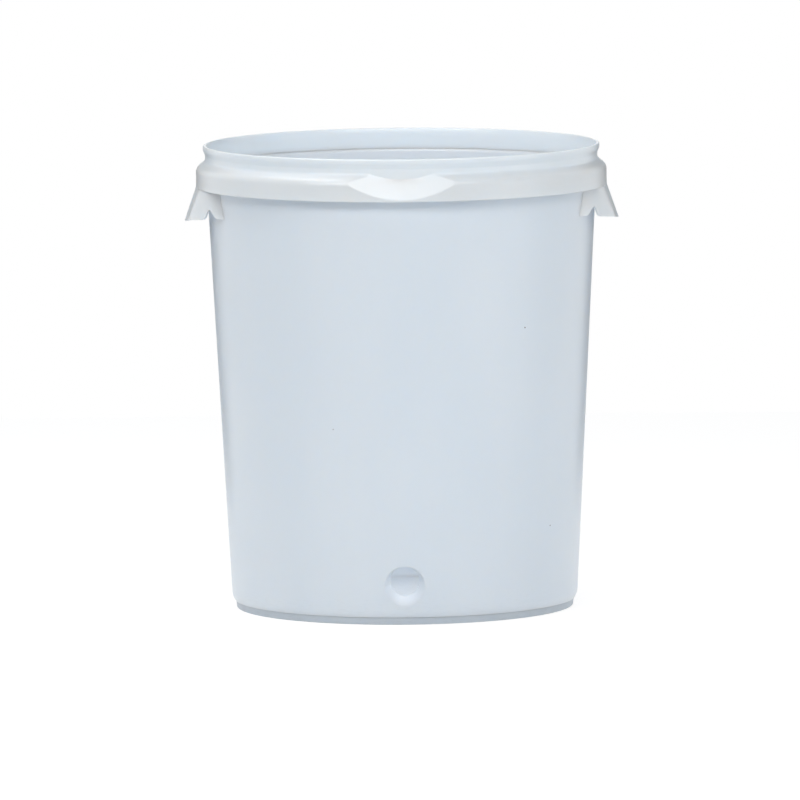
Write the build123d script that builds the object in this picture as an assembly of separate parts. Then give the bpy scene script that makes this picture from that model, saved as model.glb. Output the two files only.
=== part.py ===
"""An open plastic bucket of about 30 litres, with a lid bead, a hollow skirt band, two grips and a tap hole.

The real bucket is one injection moulding, white and slightly translucent. Here it is divided into the sections
that a mould maker names, which meet face to face: floor, floor corner, foot ring, side wall, tap boss, neck,
lid bead, shoulder, front and rear band, front relief, skirt ribs, and for each grip a flap with two end plates.

Millimetres, +Z up. The origin is on the table, on the bucket's axis. The tap hole faces -Y and the grips lie
on +X (right) and -X (left).
"""

from build123d import *
from math import asin, cos, radians, sin, sqrt, tan
import os

# Whole bucket
bucket_height = 407.0

# Side wall: a cone, measured on its outside
wall_base_radius = 151.2  # where the wall's line would meet the table
wall_draft = 2.97  # degrees from the vertical
wall_thickness = 2.4

# Floor, its turned-up corner, and the foot ring under it
corner_radius = 15.0
inner_corner_radius = 6.0
floor_thickness = 2.8
floor_lift = 4.4  # table to the floor's underside
gate_well_radius = 14.0  # round recess under the floor, where the mould was filled
gate_well_depth = 0.6
foot_height = 6.6
foot_step = 0.7  # how far the foot ring stands in from the corner above it
foot_draft = 8.0
foot_thickness = 2.8
foot_edge_radius = 0.6

# Tap hole low on the front, in an eccentric dish
tap_hole_height = 38.0
tap_hole_radius = 12.5
dish_radius = 17.7
dish_drop = 4.1  # the dish's centre lies this far below the hole's
dish_depth = 4.3
boss_margin = 0.7  # plain ring round the dish
boss_wall = 3.0  # thickness left round the hole behind the dish

# Neck and lid bead
lip_height = 8.5
neck_clear_height = 4.9  # plain neck between the bead and the shoulder
neck_thickness = 2.0
neck_step = 0.6  # how far the neck stands out from the wall's line
ledge_drop = 5.0  # shoulder line down to the ledge where neck and wall meet
lip_overhang = 1.8  # bead beyond the neck
lip_lead_in = 1.4  # how far the bead's inside opens out towards its top
lip_flare = 4.3  # height over which the bead comes out of the neck
lip_inner_radius = 0.9
lip_outer_radius = 1.4
lip_belly_radius = 5.0

# Shoulder and skirt band
shoulder_overhang = 8.0  # band beyond the neck
shoulder_slope = 38.0  # degrees below the horizontal
shoulder_fillet = 2.5
band_top_radius = 4.0
band_depth = 16.8  # from the shoulder's outer corner to the band's lower edge
skirt_thickness = 2.0
band_edge_radius = 0.7

# Front relief: a flat that leans back and cuts the band's upper edge
relief_tilt = 24.6
relief_rise = 1.6  # band's lower edge up to the lowest point of the flat

# Ribs inside the skirt
rib_pitch = 15.0  # degrees
rib_thickness = 1.6
rib_lift = 5.0  # band's lower edge up to the ribs
rib_grip_gap = 5.0  # degrees from a grip's end plate to the nearest rib

# Grips
flap_drop = 29.3  # band's lower edge down to the flap's, at its middle
flap_flare = 19.3
flap_thickness = 2.2
flap_half_angle = 9.3
flap_edge_rise = 2.2  # the flap's lower edge curves up by this towards its ends
plate_thickness = 2.0
plate_bow = 4.5  # how far an end plate bulges outwards between flap and wall
plate_low_angle = 24.4  # from the X axis to where a plate meets the wall, level with the flap's lower edge
plate_high_angle = 21.3  # the same, level with the band's lower edge
lobe_rise = 4.6  # the flap's lower edge up to the plate's, at the notch
plate_rise = 6.0  # the same at the wall
notch_height = 9.0  # above the plate's edge at the wall
notch_start = 28.0  # along the plate's lower edge, from the flap
notch_lobe_run = 4.5  # from there on to the notch's peak
notch_wall_run = 9.0  # and from the peak to the plate's level edge
notch_lip_radius = 5.0
notch_tip_radius = 1.8

least_radius = 0.3  # no inside corner is moulded sharper
fillet_reach = 0.9  # largest share of a short face that a rounding takes
overshoot = 6.0  # how far cutting shapes run past what they cut


def wall_radius(height):
    """Outer radius of the wall's cone at a height."""
    return wall_base_radius + height * tan(radians(wall_draft))


# Heights that follow from the sizes above, from the rim down
lip_bottom = bucket_height - lip_height
shoulder_top = lip_bottom - neck_clear_height
wall_top = shoulder_top - ledge_drop
slope = tan(radians(shoulder_slope))
band_corner = shoulder_top - shoulder_overhang * slope
band_bottom = band_corner - band_depth
flap_bottom = band_bottom - flap_drop
relief_height = band_bottom + relief_rise
floor_top = floor_lift + floor_thickness

# Radii that follow from them
wall_inset = wall_thickness / cos(radians(wall_draft))
flare = tan(radians(flap_flare))
flap_inset = flap_thickness / cos(radians(flap_flare))
neck_radius = wall_radius(wall_top) + neck_step
neck_bore = neck_radius - neck_thickness
lip_radius = neck_radius + lip_overhang
band_radius = neck_radius + shoulder_overhang
band_bore = band_radius - skirt_thickness
flap_radius = band_radius + flap_drop * flare
flap_bend = band_bottom - (flap_inset - skirt_thickness) / flare  # height where band and flap meet inside
beyond = 4 * band_radius  # size of a cutting block that takes in the whole bucket


def spun(face):
    """Turns a half section, drawn as radius and height, about the bucket's axis."""
    return revolve(Plane.XZ * face, Axis.Z)


def outline(*points):
    """A filled closed outline."""
    return make_face(Polyline(*points, close=True))


def softened(face, *corners):
    """Rounds corners of an outline, each given as (point, radius)."""
    for point, radius in corners:
        nearest = face.vertices().sort_by_distance(Vector(*point))[0]
        face = fillet(nearest, radius)
    return face


def bowed(centre, radius, corner):
    """The point of a circle that lies towards corner."""
    direction = (Vector(*corner) - Vector(*centre)).normalized()
    point = Vector(*centre) + direction * radius
    return point.X, point.Y


# The floor corner's arc touches the wall's line, and would touch the table if it went on to it.
draft = radians(wall_draft)
corner_centre = (wall_radius(corner_radius) - corner_radius / cos(draft), corner_radius)
corner_top = (corner_centre[0] + corner_radius * cos(draft), corner_radius - corner_radius * sin(draft))
corner_end = (corner_centre[0] + sqrt(corner_radius**2 - (corner_radius - foot_height) ** 2), foot_height)
foot_top_radius = corner_end[0] - foot_step
foot_base_radius = foot_top_radius - foot_height * tan(radians(foot_draft))
foot_bore = foot_base_radius - foot_thickness
floor_radius = wall_radius(floor_top) - wall_inset - inner_corner_radius


def make_floor():
    """The flat disc, with the gate well under its middle."""
    well_top = floor_lift + gate_well_depth
    return spun(
        outline(
            (0, well_top),
            (gate_well_radius, well_top),
            (gate_well_radius, floor_lift),
            (floor_radius, floor_lift),
            (floor_radius, floor_top),
            (0, floor_top),
        )
    )


def make_floor_corner():
    """The ring that turns up from the floor to the straight wall."""
    chord_middle = ((corner_top[0] + corner_end[0]) / 2, (corner_top[1] + corner_end[1]) / 2)
    inner_foot = (wall_radius(floor_top) - wall_inset, floor_top)
    border = ThreePointArc(corner_top, bowed(corner_centre, corner_radius, chord_middle), corner_end)
    border += Polyline(
        corner_end,
        (foot_bore, foot_height),
        (foot_bore, floor_lift),
        (floor_radius, floor_lift),
        (floor_radius, floor_top),
        inner_foot,
        (corner_top[0] - wall_inset, corner_top[1]),
        corner_top,
    )
    reach = corner_top[1] - floor_top
    return spun(softened(make_face(border), (inner_foot, min(inner_corner_radius, fillet_reach * reach))))


def make_foot_ring():
    """The ring that the bucket stands on."""
    outer_base = (foot_base_radius, 0)
    face = outline((foot_top_radius, foot_height), outer_base, (foot_bore, 0), (foot_bore, foot_height))
    return spun(softened(face, (outer_base, foot_edge_radius)))


dish_height = tap_hole_height - dish_drop
boss_radius = dish_radius + boss_margin
boss_face = wall_radius(dish_height)  # the wall's distance from the axis at the dish's centre
boss_back = boss_face - dish_depth - boss_wall


def front_circle(height, radius, distance):
    """An upright disc's outline that faces the front, at a distance from the axis."""
    return Plane((0, -distance, height), z_dir=(0, 1, 0)) * Circle(radius)


def front_bar(height, radius, outer, inner):
    """A round bar along Y, from outer to inner distance from the axis."""
    return extrude(front_circle(height, radius, outer), outer - inner)


def make_side_wall():
    """The tapered wall, with the round opening that the tap boss fills."""
    low = corner_top[1]
    face = outline(
        (wall_radius(low), low),
        (wall_radius(wall_top), wall_top),
        (wall_radius(wall_top) - wall_inset, wall_top),
        (wall_radius(low) - wall_inset, low),
    )
    return spun(face) - front_bar(dish_height, boss_radius, boss_face + overshoot, boss_back - overshoot)


def make_tap_boss():
    """The thick round pad with the tap hole, dished outside and flat inside."""
    cone = spun(outline((0, 0), (wall_radius(0), 0), (wall_radius(wall_top), wall_top), (0, wall_top)))
    blank = cone & front_bar(dish_height, boss_radius, boss_face + overshoot, boss_back)
    grow = (dish_depth + overshoot) / dish_depth  # the dish's cone is drawn on past the wall
    mouth_radius = tap_hole_radius + (dish_radius - tap_hole_radius) * grow
    bottom = front_circle(tap_hole_height, tap_hole_radius, boss_face - dish_depth)
    mouth = front_circle(tap_hole_height - dish_drop * grow, mouth_radius, boss_face + overshoot)
    dish = loft([bottom, mouth], ruled=True)
    return blank - dish - front_bar(tap_hole_height, tap_hole_radius, boss_face, boss_back - overshoot)


def make_neck():
    """The plain ring between the ledge at the wall's top and the lid bead."""
    return spun(
        outline((neck_bore, wall_top), (neck_radius, wall_top), (neck_radius, lip_bottom), (neck_bore, lip_bottom))
    )


def make_lid_bead():
    """The rounded rim that a lid snaps over, opening out inside."""
    foot = (neck_bore, lip_bottom)
    inner = (neck_bore + lip_lead_in, bucket_height)
    outer = (lip_radius, bucket_height)
    belly = (lip_radius, lip_bottom + lip_flare)
    sweep = (lip_lead_in**2 + lip_height**2) / (2 * lip_lead_in)  # radius of an arc that starts upright
    middle = bowed((foot[0] + sweep, foot[1]), sweep, ((foot[0] + inner[0]) / 2, (foot[1] + inner[1]) / 2))
    border = ThreePointArc(foot, middle, inner) + Polyline(inner, outer, belly, (neck_radius, lip_bottom), foot)
    corners = (inner, lip_inner_radius), (outer, lip_outer_radius), (belly, lip_belly_radius)
    return spun(softened(make_face(border), *corners))


# The hollow skirt's inner corner and ceiling, one thickness inside its outer surfaces
ceiling_drop = skirt_thickness / cos(radians(shoulder_slope))
skirt_ceiling = (neck_radius, shoulder_top - ceiling_drop)
skirt_inner_corner = (band_bore, band_corner - ceiling_drop + skirt_thickness * slope)
skirt_inner_radius = max(band_top_radius - skirt_thickness, least_radius)


def skirt_section(*inside):
    """A half section of shoulder and band, closed by the given points from the lower edge back up to the neck."""
    tangent = shoulder_fillet * tan(radians(45 - shoulder_slope / 2))
    start = (neck_radius, shoulder_top + tangent)
    fillet_centre = (neck_radius + shoulder_fillet, shoulder_top + tangent)
    middle = bowed(fillet_centre, shoulder_fillet, (neck_radius, shoulder_top))
    along = radians(shoulder_slope)
    on_slope = (neck_radius + tangent * cos(along), shoulder_top - tangent * sin(along))
    corner = (band_radius, band_corner)
    edge = (band_radius, band_bottom)
    border = ThreePointArc(start, middle, on_slope) + Polyline(on_slope, corner, edge, *inside, start)
    return softened(make_face(border), (corner, band_top_radius), (edge, band_edge_radius))


band_joint = band_corner - band_top_radius * tan(radians(45 - shoulder_slope / 2))  # shoulder meets band here


def make_skirt_shell():
    """Shoulder and band in one, as a hollow ring that is open below."""
    face = skirt_section((band_bore, band_bottom), skirt_inner_corner, skirt_ceiling)
    return spun(softened(face, (skirt_inner_corner, skirt_inner_radius)))


def make_skirt_body():
    """The same ring filled in, to the outsides of the wall and the neck."""
    wall_low = (wall_radius(band_bottom), band_bottom)
    wall_high = (wall_radius(wall_top), wall_top)
    return spun(skirt_section(wall_low, wall_high, (neck_radius, wall_top)))


def before_relief(depth):
    """Everything in front of the relief's flat, moved in by depth."""
    lean = radians(relief_tilt)
    normal = Vector(0, -cos(lean), sin(lean))
    origin = Vector(0, -band_radius, relief_height) - normal * depth
    block = Box(beyond, beyond, beyond, align=(Align.CENTER, Align.CENTER, Align.MIN))
    return Plane(origin, x_dir=(1, 0, 0), z_dir=normal) * block


def slab(low, high):
    """Everything between two heights."""
    return Pos(0, 0, low) * Box(beyond, beyond, high - low, align=(Align.CENTER, Align.CENTER, Align.MIN))


def make_skirt_space():
    """The ring-shaped space inside the skirt, and below it from the wall out to as far as the flaps reach."""
    face = outline(
        (wall_radius(flap_bottom), flap_bottom),
        (wall_radius(wall_top), wall_top),
        (neck_radius, wall_top),
        skirt_ceiling,
        skirt_inner_corner,
        (band_bore, band_bottom),
        (flap_radius, band_bottom),
        (flap_radius, flap_bottom),
    )
    return spun(softened(face, (skirt_inner_corner, skirt_inner_radius)))


def make_skirt_ribs(space):
    """Thin upright ribs in the hollow skirt, left out where the grips are."""
    blade = Box(
        band_radius + overshoot, rib_thickness, bucket_height, align=(Align.MIN, Align.CENTER, Align.MIN)
    )
    room = (space & slab(band_bottom + rib_lift, bucket_height)) - before_relief(skirt_thickness)
    ribs = []
    for turn in range(round(360 / rib_pitch)):
        angle = turn * rib_pitch
        from_grip = min(angle % 180, 180 - angle % 180)
        if from_grip > plate_low_angle + rib_grip_gap:
            ribs.append((room & (Rot(0, 0, angle) * blade)).solid())
    return Compound(children=ribs)


def flap_wedge():
    """Everything on the right that a flap's width takes in, seen from the axis."""
    half_width = beyond * tan(radians(flap_half_angle))
    return extrude(outline((0, 0), (beyond, half_width), (beyond, -half_width)), bucket_height)


def make_flap():
    """The right grip's flap: a stretch of the band, drawn on downwards and outwards."""
    ring = spun(
        outline(
            (band_bore, band_joint),
            (band_radius, band_joint),
            (band_radius, band_bottom),
            (flap_radius, flap_bottom),
            (flap_radius - flap_inset, flap_bottom),
            (band_bore, flap_bend),
        )
    )
    half_width = flap_radius * sin(radians(flap_half_angle))
    edge_radius = (half_width**2 + flap_edge_rise**2) / (2 * flap_edge_rise)
    edge_axis = Plane((0, 0, flap_bottom + edge_radius), z_dir=(1, 0, 0))
    return ring & flap_wedge() & extrude(edge_axis * Circle(edge_radius), beyond)


def plate_line(height, flap_side, wall_angle):
    """Ends of an end plate's outer face at a height: at the flap's corner and at the wall."""
    near = radians(flap_half_angle)
    far = radians(wall_angle)
    wall = wall_radius(height)
    start = Vector(flap_side * cos(near), flap_side * sin(near), height)
    end = Vector(wall * cos(far), wall * sin(far), height)
    return start, end


def plate_section(height, flap_side, wall_angle):
    """A thin strip that bows outwards between these ends, drawn on past both."""
    start, end = plate_line(height, flap_side, wall_angle)
    half = (end - start) / 2
    along = half.normalized()
    outward = along.cross(Vector(0, 0, 1))
    radius = (half.length**2 + plate_bow**2) / (2 * plate_bow)
    centre = start + half + outward * (plate_bow - radius)
    reach = asin(half.length / radius) + overshoot / radius

    def arc(distance, turn):
        """Part of a circle about the bow's centre, turned by up to turn to both sides of its middle."""
        tips = (outward * cos(turn) - along * sin(turn), outward, outward * cos(turn) + along * sin(turn))
        return ThreePointArc(*(centre + tip * distance for tip in tips))

    outer = arc(radius, reach)
    inner = arc(radius - plate_thickness, reach)
    return make_face(outer + Line(outer @ 1, inner @ 1) + inner + Line(inner @ 0, outer @ 0))


def make_plate(space):
    """The end plate at the right grip's rear (+Y) end, with the notch in its lower edge."""
    low = plate_section(flap_bottom, flap_radius, plate_low_angle)
    middle = plate_section(band_bottom, band_radius, plate_high_angle)
    high = plate_section(shoulder_top, band_radius, plate_high_angle)
    piece = ((loft([low, middle], ruled=True) + loft([middle, high], ruled=True)) & space) - flap_wedge()
    start, end = plate_line(flap_bottom, flap_radius, plate_low_angle)
    along = (end - start).normalized()
    run = (end - start).length + overshoot
    lobe = (notch_start, lobe_rise)
    peak = (notch_start + notch_lobe_run, plate_rise + notch_height)
    foot = (peak[0] + notch_wall_run, plate_rise)
    below = outline(
        (-overshoot, -overshoot),
        (run, -overshoot),
        (run, plate_rise),
        foot,
        peak,
        lobe,
        (0, flap_edge_rise),
        (-overshoot, flap_edge_rise),
    )
    below = softened(below, (peak, notch_tip_radius), (lobe, notch_lip_radius), (foot, notch_lip_radius))
    upright = Plane(start, x_dir=along, z_dir=along.cross(Vector(0, 0, 1)))
    return piece - extrude(upright * below, beyond, both=True)


def write(name, shape):
    """Saves one node."""
    shape.label = name
    export_step(shape, os.path.join("parts", name + ".step"))
    print(name, len(shape.solids()), "solids", round(shape.volume), "mm3")


os.makedirs("parts", exist_ok=True)

write("floor", make_floor())
write("floor_corner", make_floor_corner())
write("foot_ring", make_foot_ring())
write("side_wall", make_side_wall())
write("tap_boss", make_tap_boss())
write("neck", make_neck())
write("lid_bead", make_lid_bead())

behind_relief = make_skirt_shell() - before_relief(skirt_thickness)
write("shoulder", behind_relief & slab(band_joint, bucket_height))
band = behind_relief & slab(band_bottom - overshoot, band_joint)
stretches = (band - flap_wedge() - Rot(0, 0, 180) * flap_wedge()).solids()
for name, side in (("front_band", -1), ("rear_band", 1)):
    write(name, Compound(children=[stretch for stretch in stretches if side * stretch.center().Y > 0]))
write("front_relief", (make_skirt_body() & before_relief(skirt_thickness)) - before_relief(0))

skirt_space = make_skirt_space()
write("skirt_ribs", make_skirt_ribs(skirt_space))

flap = make_flap()
rear_plate = make_plate(skirt_space)
write("right_grip_flap", flap)
write("right_grip_rear_plate", rear_plate)
write("right_grip_front_plate", mirror(rear_plate, about=Plane.XZ))
write("left_grip_flap", mirror(flap, about=Plane.YZ))
write("left_grip_rear_plate", mirror(rear_plate, about=Plane.YZ))
write("left_grip_front_plate", Rot(0, 0, 180) * rear_plate)
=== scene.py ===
# %% [markdown]
# # A white plastic bucket, dressed around its CAD model
#
# The real bucket is one injection moulding in milky polypropylene: a tapered wall, a collar with a lid bead
# and a hollow band, two grips and a foot ring. The CAD model holds its sizes. This lesson loads that model as
# a fixed frame and builds the pieces that are seen, with their rounded edges, their finish and their light.

import math

import bmesh
import bpy
from mathutils import Matrix, Vector


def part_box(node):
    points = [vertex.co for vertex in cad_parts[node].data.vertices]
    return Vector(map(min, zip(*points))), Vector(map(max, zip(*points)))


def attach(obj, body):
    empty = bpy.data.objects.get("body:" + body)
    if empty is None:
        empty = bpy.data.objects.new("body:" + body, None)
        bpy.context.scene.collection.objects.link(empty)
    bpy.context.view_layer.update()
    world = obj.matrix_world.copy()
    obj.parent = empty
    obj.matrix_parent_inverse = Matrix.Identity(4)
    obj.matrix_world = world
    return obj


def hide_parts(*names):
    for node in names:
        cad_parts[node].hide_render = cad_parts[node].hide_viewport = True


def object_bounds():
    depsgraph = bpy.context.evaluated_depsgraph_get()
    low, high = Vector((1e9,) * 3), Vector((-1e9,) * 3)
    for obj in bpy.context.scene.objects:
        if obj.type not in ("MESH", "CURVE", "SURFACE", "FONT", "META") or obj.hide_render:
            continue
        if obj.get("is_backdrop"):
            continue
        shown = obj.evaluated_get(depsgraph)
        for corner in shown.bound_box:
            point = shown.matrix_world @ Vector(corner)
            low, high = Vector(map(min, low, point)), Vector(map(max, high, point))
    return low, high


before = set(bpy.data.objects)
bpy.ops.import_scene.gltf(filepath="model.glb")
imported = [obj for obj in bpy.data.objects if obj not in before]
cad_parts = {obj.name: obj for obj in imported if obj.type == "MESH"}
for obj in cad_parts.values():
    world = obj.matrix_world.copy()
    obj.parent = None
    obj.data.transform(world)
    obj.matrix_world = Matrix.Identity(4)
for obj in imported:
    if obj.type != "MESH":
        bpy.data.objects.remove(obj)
cad_low, cad_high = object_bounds()
print("CAD box, mm:", [round(1000 * (high - low), 1) for low, high in zip(cad_low, cad_high)])

# %% [markdown]
# ## Sizes
#
# Every radius and height that the CAD model knows is read from its nodes' boxes, so a change there arrives
# here by itself. A turned node reaches as far along X as its radius. What a box can't tell, such as a
# thickness or a rounding, is a named value, written in millimetres and kept in metres.

# %% Read the frame's sizes
mm = 0.001


def span(node):
    """Outer radius, lowest and highest height of a turned node."""
    low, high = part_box(node)
    return high.x, low.z, high.z


wall_top_radius, corner_top, wall_top = span("side_wall")
corner_top_radius, floor_lift, _ = span("floor_corner")
foot_top_radius, _, foot_height = span("foot_ring")
neck_radius, _, lip_bottom = span("neck")
lip_radius, _, rim_top = span("lid_bead")
band_radius = span("shoulder")[0]
band_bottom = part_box("rear_band")[0].z
floor_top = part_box("floor")[1].z
flap_radius, flap_bottom, _ = span("right_grip_flap")
wall_flare = (wall_top_radius - corner_top_radius) / (wall_top - corner_top)
for label, radius in (("neck", neck_radius), ("band", band_radius), ("flap", flap_radius)):
    print(label, "radius, mm:", round(radius / mm, 2))


def wall_radius(height):
    """Outer radius of the tapered wall at a height."""
    return corner_top_radius + (height - corner_top) * wall_flare


# %% [markdown]
# ## Outlines
#
# A moulded edge is never sharp: it has a small radius that catches the light. A bevel on the finished mesh
# could give it, but not where the sections are thin. So an outline here is a list of corners, each with its
# rounding, and one helper turns the corners into arcs. A second helper divides long stretches, so that a
# later step has points to move.

# %% Round the corners of an outline
arc_step = math.radians(12)


def rounded(corners):
    """Points of an outline from corners (along, up, rounding). A rounding of 0 keeps a corner as it is."""
    points = []
    for i, (along, up, rounding) in enumerate(corners):
        here = Vector((along, up))
        if not rounding:
            points.append(here)
            continue
        back = (Vector(corners[i - 1][:2]) - here).normalized()
        ahead = (Vector(corners[(i + 1) % len(corners)][:2]) - here).normalized()
        half = back.angle(ahead) / 2
        centre = here + (back + ahead).normalized() * rounding / math.sin(half)
        start = here + back * rounding / math.tan(half) - centre
        sweep = start.angle_signed(here + ahead * rounding / math.tan(half) - centre)
        steps = max(2, math.ceil(abs(sweep) / arc_step))
        for step in range(steps + 1):
            points.append(centre + Matrix.Rotation(-sweep * step / steps, 2) @ start)
    return points


def divided(points, longest, closed=False):
    """The same outline with no stretch longer than a length."""
    fine = []
    ends = points[1:] + points[:1] if closed else points[1:]
    for start, end in zip(points, ends):
        steps = max(1, math.ceil((end - start).length / longest))
        fine += [start.lerp(end, step / steps) for step in range(steps)]
    return fine if closed else fine + points[-1:]


square = [(0, 0, 1), (4, 0, 1), (4, 4, 1), (0, 4, 1)]
print("a square with rounded corners has", len(rounded(square)), "points")

# %% [markdown]
# ## Turned shapes
#
# Spinning an outline gives every ring-shaped piece. The columns don't have to be evenly spaced: they lie
# closer at the front, where the dish and the relief need them. Rings of points are made first and joined by
# quads, so the same helper later joins the rings of the dish.

# %% Turn outlines into meshes
front = -math.pi / 2
column_step = math.radians(2)


def columns(half_width, steps):
    """Angles round the bucket: close together across the front, out to half_width each side, then wider."""
    fine = [front - half_width + 2 * half_width * i / steps for i in range(steps)]
    rest = 2 * math.pi - 2 * half_width
    count = round(rest / column_step)
    return fine + [front + half_width + rest * i / count for i in range(count)]


def ring(bm, radius, height, angles):
    """A ring of points about the bucket's axis."""
    return [bm.verts.new((radius * math.cos(turn), radius * math.sin(turn), height)) for turn in angles]


def join(bm, first, second, skipped=()):
    """Quads between two rings of as many points. Columns in skipped stay open."""
    for i in range(len(first)):
        if i not in skipped:
            j = (i + 1) % len(first)
            bm.faces.new((first[i], first[j], second[j], second[i]))


def join_round(bm, rings):
    """Joins each ring to the one after it, and the last to the first."""
    for low, high in zip(rings, rings[1:] + rings[:1]):
        join(bm, low, high)


def carry_on(bm, last, outline, angles):
    """Joins a ring to further rings, one at each point of an outline, and returns the last of them."""
    for radius, height in outline:
        following = ring(bm, radius, height, angles)
        join(bm, last, following)
        last = following
    return last


def fan(bm, around, height):
    """Closes a ring with triangles to a point on the axis."""
    centre = bm.verts.new((0, 0, height))
    for i, point in enumerate(around):
        bm.faces.new((point, around[(i + 1) % len(around)], centre))


sharp_from = math.radians(38)


def in_scene(name, data):
    """A new object with its data, in the scene."""
    holder = bpy.data.objects.new(name, data)
    bpy.context.scene.collection.objects.link(holder)
    return holder


def as_object(name, bm):
    """A finished mesh object: outward normals, smooth faces, and sharp edges where the shape turns."""
    bmesh.ops.recalc_face_normals(bm, faces=bm.faces)
    for face in bm.faces:
        face.smooth = True
    for edge in bm.edges:
        edge.smooth = edge.calc_face_angle(0) < sharp_from
    mesh = bpy.data.meshes.new(name)
    bm.to_mesh(mesh)
    open_edges = sum(not edge.is_manifold for edge in bm.edges)
    bm.free()
    print(name, len(mesh.polygons), "faces,", open_edges, "open edges")
    return in_scene(name, mesh)


# %% [markdown]
# ## The wall, with its dished tap hole
#
# Wall and floor are one turned shell. The tap hole sits in a dish: a cone that is deeper at its upper side,
# because its mouth lies lower than the hole. A boolean cut would leave long thin faces there that shade
# badly. So the turned grid keeps a square window open, and rings of points lead from the window's border to
# the dish, down the dish, through the hole, over the flat pad inside and back to the inner surface's window.

# %% Outline of wall and floor
wall_thickness = 2.4 * mm
neck_thickness = 2.0 * mm
outer_corner_radius = 15.0 * mm
inner_corner_radius = 6.0 * mm
gate_well_radius = 14.0 * mm
gate_well_depth = 0.6 * mm
edge_rounding = 0.4 * mm
ledge_fall = 2.2 * mm
ledge_rounding = 0.8 * mm
foot_thickness = 2.8 * mm
foot_step = 0.7 * mm
foot_draft = math.radians(8)
buried = 0.5 * mm
proud = 0.02 * mm

wall_inset = wall_thickness * math.hypot(1, wall_flare)
corner_foot_radius = foot_top_radius + foot_step
foot_base_radius = foot_top_radius - foot_height * math.tan(foot_draft)
foot_bore = foot_base_radius - foot_thickness


def corner_arc(steps=5):
    """The turned-up corner, from the foot ring's top to the straight wall."""
    start = Vector((corner_foot_radius, foot_height))
    end = Vector((corner_top_radius, corner_top))
    middle = (start + end) / 2
    across = (end - start).orthogonal().normalized()
    centre = middle + across * math.sqrt(outer_corner_radius**2 - ((end - start).length / 2) ** 2)
    arm = start - centre
    sweep = arm.angle_signed(end - centre)
    return [centre + Matrix.Rotation(-sweep * i / steps, 2) @ arm for i in range(steps + 1)]


under = rounded(
    [
        (gate_well_radius / 2, floor_lift + gate_well_depth, 0),
        (gate_well_radius, floor_lift + gate_well_depth, edge_rounding),
        (gate_well_radius, floor_lift, edge_rounding),
        (foot_bore + buried, floor_lift, 0),
        (foot_bore + buried, foot_height, 0),
    ]
)
inner_low = Vector((wall_radius(corner_top) - wall_inset, corner_top))
inside = rounded(
    [
        (*inner_low, 0),
        (wall_radius(floor_top) - wall_inset, floor_top, inner_corner_radius),
        (gate_well_radius, floor_top, 0),
    ]
)
print("under the floor", len(under), "points, inside corner", len(inside))

# %% Sizes of the dish and the hole
window_half = 22 * mm
window_steps = 24
boss_low, boss_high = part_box("tap_boss")
dish_height = (boss_low.z + boss_high.z) / 2
boss_radius = boss_high.x
boss_back = -boss_high.y
dish_radius = 17.7 * mm
dish_drop = 4.1 * mm
dish_depth = 4.3 * mm
dish_bend = 1.12
hole_radius = 12.5 * mm
hole_edge = 0.8 * mm
hole_height = dish_height + dish_drop
hole_front = wall_radius(dish_height) - dish_depth
window_low = corner_top
window_high = corner_top + 2 * window_half
window_turn = math.asin(window_half / wall_radius(dish_height))
window_columns = range(window_steps)
print("hole at", round(hole_height / mm, 1), "mm, dish at", round(dish_height / mm, 1))


# %% Rings from the window to the dish and through the hole
def on_wall(x, z, inset):
    """The wall's front point at these x and z, moved in by inset."""
    radius = wall_radius(z) - inset
    return Vector((x, -math.sqrt(radius**2 - x**2), z))


def window_border(rings):
    """The points once round the window that the rings leave open."""
    bottom = rings[0][:window_steps]
    right = [level[window_steps] for level in rings[:-1]]
    top = rings[-1][window_steps:0:-1]
    left = [level[0] for level in rings[:0:-1]]
    return bottom + right + top + left


def round_dish(border, radius, height):
    """Points of an upright circle, one in the direction of each border point, seen from the dish's centre."""
    points = []
    for vertex in border:
        angle = math.atan2(vertex.co.z - dish_height, vertex.co.x)
        points.append((radius * math.cos(angle), height + radius * math.sin(angle)))
    return points


def patch(bm, border, targets):
    """Joins a border to rings of points, one after another, and returns the last ring."""
    last = border
    for target in targets:
        following = [bm.verts.new(point) for point in target]
        join(bm, last, following)
        last = following
    return last


def spread(border, radius, inset, shares):
    """Rings on the wall that lead from the window's border to a circle about the dish's centre."""
    circle = round_dish(border, radius, dish_height)
    for share in shares:
        ring_points = []
        for vertex, (x, z) in zip(border, circle):
            blend_x = vertex.co.x + (x - vertex.co.x) * share
            blend_z = vertex.co.z + (z - vertex.co.z) * share
            ring_points.append(on_wall(blend_x, blend_z, inset))
        yield ring_points


def dish_rings(border, steps=9):
    """Rings down the dish, from its soft mouth on the wall to the hole's edge."""
    for step in range(1, steps + 1):
        share = step / steps
        radius = dish_radius + (hole_radius + hole_edge - dish_radius) * share
        points = []
        for x, z in round_dish(border, radius, dish_height + dish_drop * share):
            wall = on_wall(x, z, 0)
            points.append(Vector((x, wall.y + (-hole_front - wall.y) * share**dish_bend, z)))
        yield points


def flat_ring(border, radius, height, distance):
    """An upright ring at a distance from the axis, facing the front."""
    return [Vector((x, -distance, z)) for x, z in round_dish(border, radius, height)]


def hole_edge_rings(border, steps=3):
    """Rings round the soft edge where the dish turns into the hole."""
    for step in range(1, steps + 1):
        turn = math.pi / 2 * step / steps
        radius = hole_radius + hole_edge * (1 - math.sin(turn))
        yield flat_ring(border, radius, hole_height, hole_front - hole_edge * (1 - math.cos(turn)))


# %% Turn the wall and keep its window open
wall_angles = columns(window_turn, window_steps)
upper_steps = 14


def rise(low, high, steps):
    """Heights from low to high."""
    return [low + (high - low) * i / steps for i in range(steps + 1)]


window_heights = rise(window_low, window_high, window_steps)
upper_heights = rise(window_high, wall_top - edge_rounding, upper_steps)[1:]

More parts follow.
